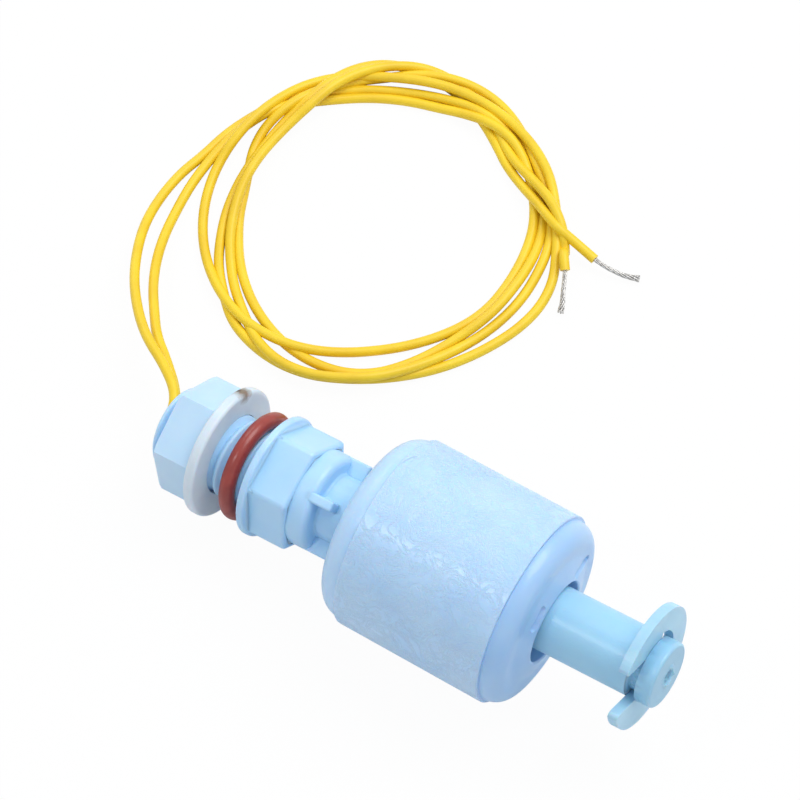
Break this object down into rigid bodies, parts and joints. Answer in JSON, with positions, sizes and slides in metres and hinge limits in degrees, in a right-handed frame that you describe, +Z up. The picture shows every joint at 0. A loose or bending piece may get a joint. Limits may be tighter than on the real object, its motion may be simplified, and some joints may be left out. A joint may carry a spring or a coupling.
{
  "type": "float level switch",
  "caption": "Miniature vertical float level switch in light blue plastic: threaded stud with hex nut, washer and O-ring, sliding foam float held by a clip, and two thin yellow leads, loosely coiled.",
  "frame": {"origin": "bottom centre of the switch lying at rest on a table, the leads not counted", "axes": "+X along the stem seen from above, from the stud to the tip; +Z up; the stem rises about 7.5 degrees towards the tip"},
  "size_m": [0.0893, 0.0751, 0.0248],
  "materials": {
    "moulded_plastic": "light blue polypropylene moulding, slightly translucent, satin",
    "washer_plastic": "milky grey-white plastic washer",
    "o_ring_rubber": "brick-red rubber with a faint sheen",
    "float_foam": "foamed polypropylene, smooth skin with faint pale flow streaks",
    "ferrite": "pressed and sintered ring",
    "reed_glass": "clear green-tinted glass",
    "tinned_metal": "tin-plated strands and blades",
    "solder": "solder",
    "black_sleeve": "black heat-shrink sleeve",
    "lead_insulation": "yellow lead insulation, satin",
    "potting_resin": "cast epoxy resin"
  },
  "bodies": {
    "stem": {"stem_body": "moulded_plastic", "o_ring": "o_ring_rubber", "retaining_clip": "moulded_plastic", "reed_glass": "reed_glass", "reed_blade_upper": "tinned_metal", "reed_blade_lower": "tinned_metal", "solder_joint_upper": "solder", "solder_joint_lower": "solder", "shrink_sleeve_upper": "black_sleeve", "shrink_sleeve_lower": "black_sleeve", "lead_core_upper": "tinned_metal", "lead_core_lower": "tinned_metal", "lead_jacket_upper": "lead_insulation", "lead_jacket_lower": "lead_insulation", "potting_plug": "potting_resin", "lead_a": "lead_insulation", "lead_b": "lead_insulation", "wire_coil": "lead_insulation", "tail_a": "lead_insulation", "tail_b": "lead_insulation", "bare_end_a": "tinned_metal", "bare_end_b": "tinned_metal"},
    "float": {"float_body": "float_foam", "ring_magnet": "ferrite"},
    "washer": {"flat_washer": "washer_plastic"},
    "nut": {"hex_nut": "moulded_plastic"}
  },
  "joints": [
    {"name": "float_slide", "type": "slide", "parent": "stem", "child": "float", "axis": [0.9914, 0, 0.131], "range_m": [-0.00193, 0.01072]},
    {"name": "washer_slide", "type": "slide", "parent": "stem", "child": "washer", "axis": [0.9914, 0, 0.131], "range_m": [-0.003, 0.0024]},
    {"name": "nut_turn", "type": "hinge", "parent": "washer", "child": "nut", "pos_m": [-0.01967, 0, 0.00901], "axis": [0.9914, 0, 0.131], "range_deg": [-722, 578]}
  ],
  "couplings": [
    {"joint": "nut_turn", "follows": "washer_slide", "rad_per_m": 4188.8}
  ]
}
